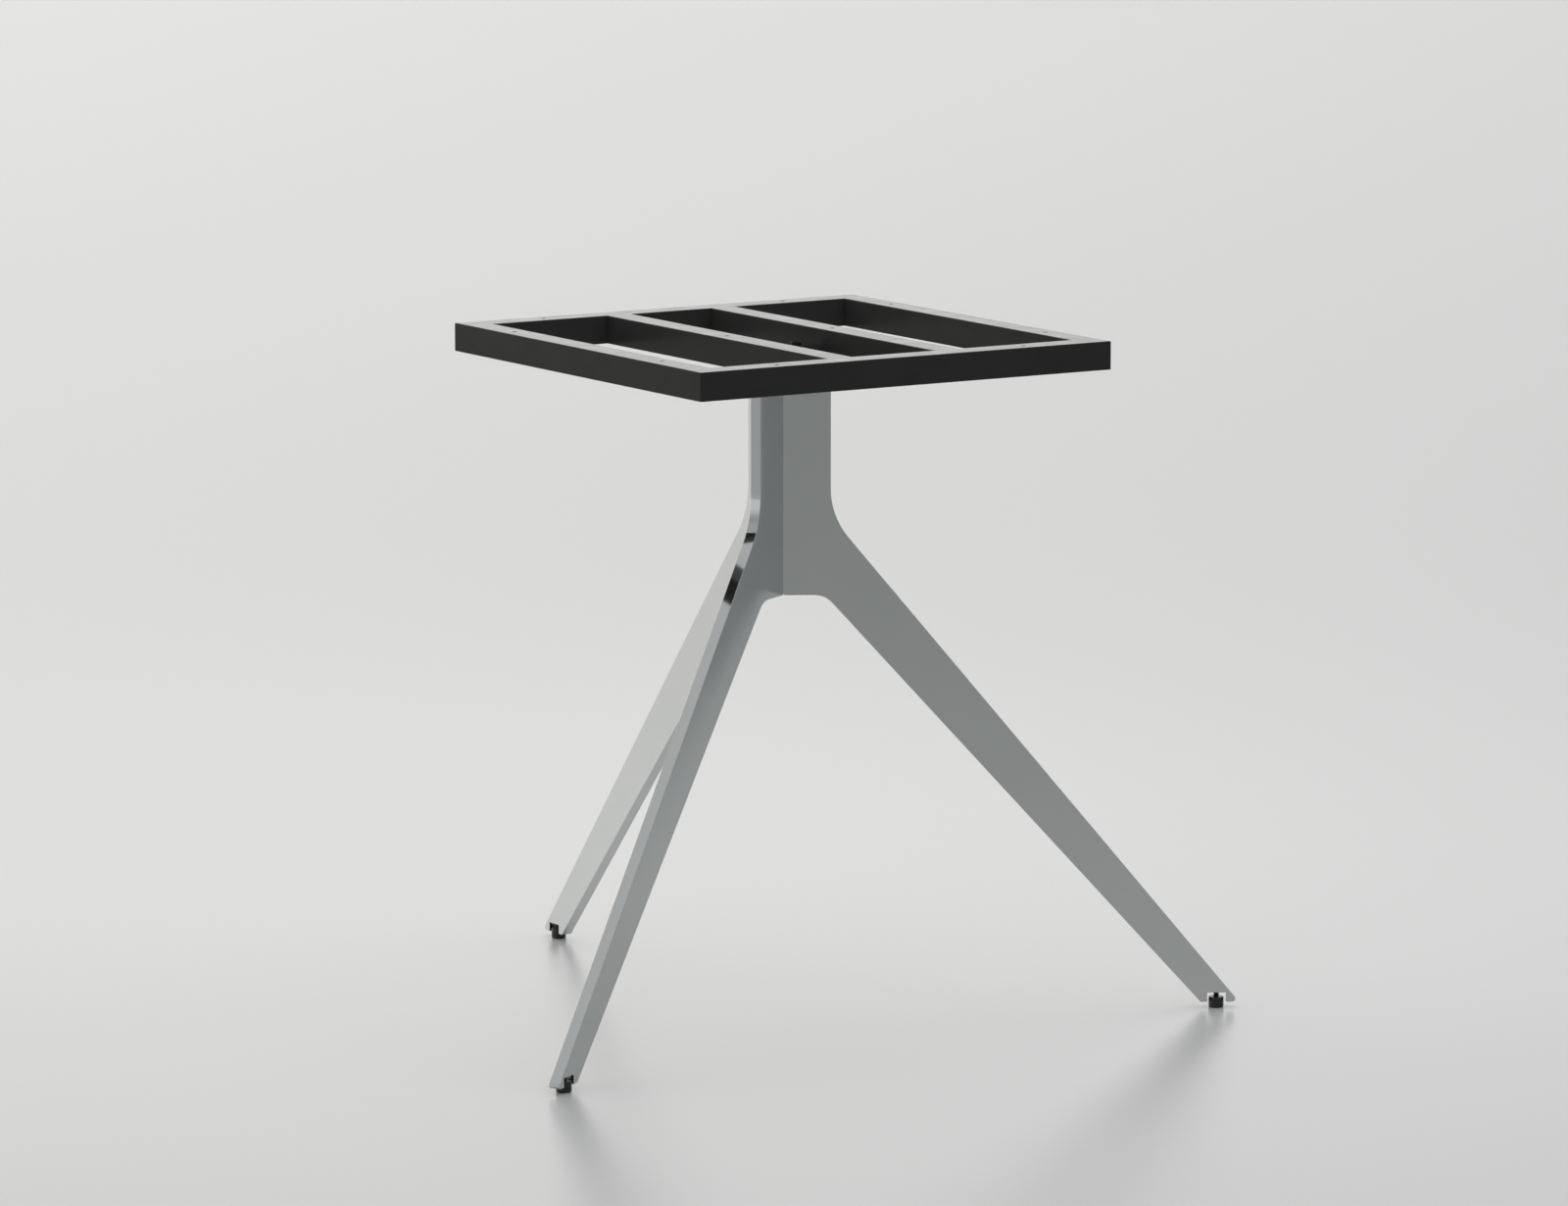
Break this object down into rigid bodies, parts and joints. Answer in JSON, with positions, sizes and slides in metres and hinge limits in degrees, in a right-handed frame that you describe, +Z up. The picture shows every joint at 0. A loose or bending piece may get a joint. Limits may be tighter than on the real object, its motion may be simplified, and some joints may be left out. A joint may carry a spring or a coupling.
{
  "type": "three-leg table base",
  "caption": "Table base with a star column of flat steel plates that splay into legs with levelling feet, under a bolted square-tube frame that carries the top.",
  "frame": {"origin": "centre of the top frame's upper face, where the table top lies", "axes": "+Z up, +X along the front rail towards the right, +Y to the back, along the back leg"},
  "size_m": [0.846, 0.735, 0.726],
  "materials": {
    "leg_metal": "polished steel",
    "frame_coating": "satin black powder coat",
    "glide_plastic": "moulded black nylon",
    "black_steel": "blackened steel",
    "zinc_steel": "zinc-plated steel"
  },
  "bodies": {
    "base": {"front_rail": "frame_coating", "back_rail": "frame_coating", "left_rail": "frame_coating", "right_rail": "frame_coating", "left_cross_rail": "frame_coating", "right_cross_rail": "frame_coating", "back_leg": "leg_metal", "left_leg": "leg_metal", "right_leg": "leg_metal", "seat_plate": "frame_coating", "head_plate": "frame_coating", "head_bolts": "zinc_steel", "washers": "zinc_steel", "rivet_nuts": "black_steel"},
    "back_stud": {"back_stud": "black_steel"},
    "back_glide": {"back_glide": "glide_plastic"},
    "left_stud": {"left_stud": "black_steel"},
    "left_glide": {"left_glide": "glide_plastic"},
    "right_stud": {"right_stud": "black_steel"},
    "right_glide": {"right_glide": "glide_plastic"}
  },
  "joints": [
    {"name": "back_foot_height", "type": "slide", "parent": "base", "child": "back_stud", "axis": [0, 0, -1], "range_m": [-0.0045, 0.003]},
    {"name": "back_foot_turn", "type": "hinge", "parent": "back_stud", "child": "back_glide", "pos_m": [0, 0.465, -0.726], "axis": [0, 0, -1], "range_deg": [-1622, 1082]},
    {"name": "left_foot_height", "type": "slide", "parent": "base", "child": "left_stud", "axis": [0, 0, -1], "range_m": [-0.0045, 0.003]},
    {"name": "left_foot_turn", "type": "hinge", "parent": "left_stud", "child": "left_glide", "pos_m": [-0.4027, -0.2325, -0.726], "axis": [0, 0, -1], "range_deg": [-1622, 1082]},
    {"name": "right_foot_height", "type": "slide", "parent": "base", "child": "right_stud", "axis": [0, 0, -1], "range_m": [-0.0045, 0.003]},
    {"name": "right_foot_turn", "type": "hinge", "parent": "right_stud", "child": "right_glide", "pos_m": [0.4027, -0.2325, -0.726], "axis": [0, 0, -1], "range_deg": [-1622, 1082]}
  ],
  "couplings": [
    {"joint": "back_foot_turn", "follows": "back_foot_height", "rad_per_m": 6283.2},
    {"joint": "left_foot_turn", "follows": "left_foot_height", "rad_per_m": 6283.2},
    {"joint": "right_foot_turn", "follows": "right_foot_height", "rad_per_m": 6283.2}
  ]
}
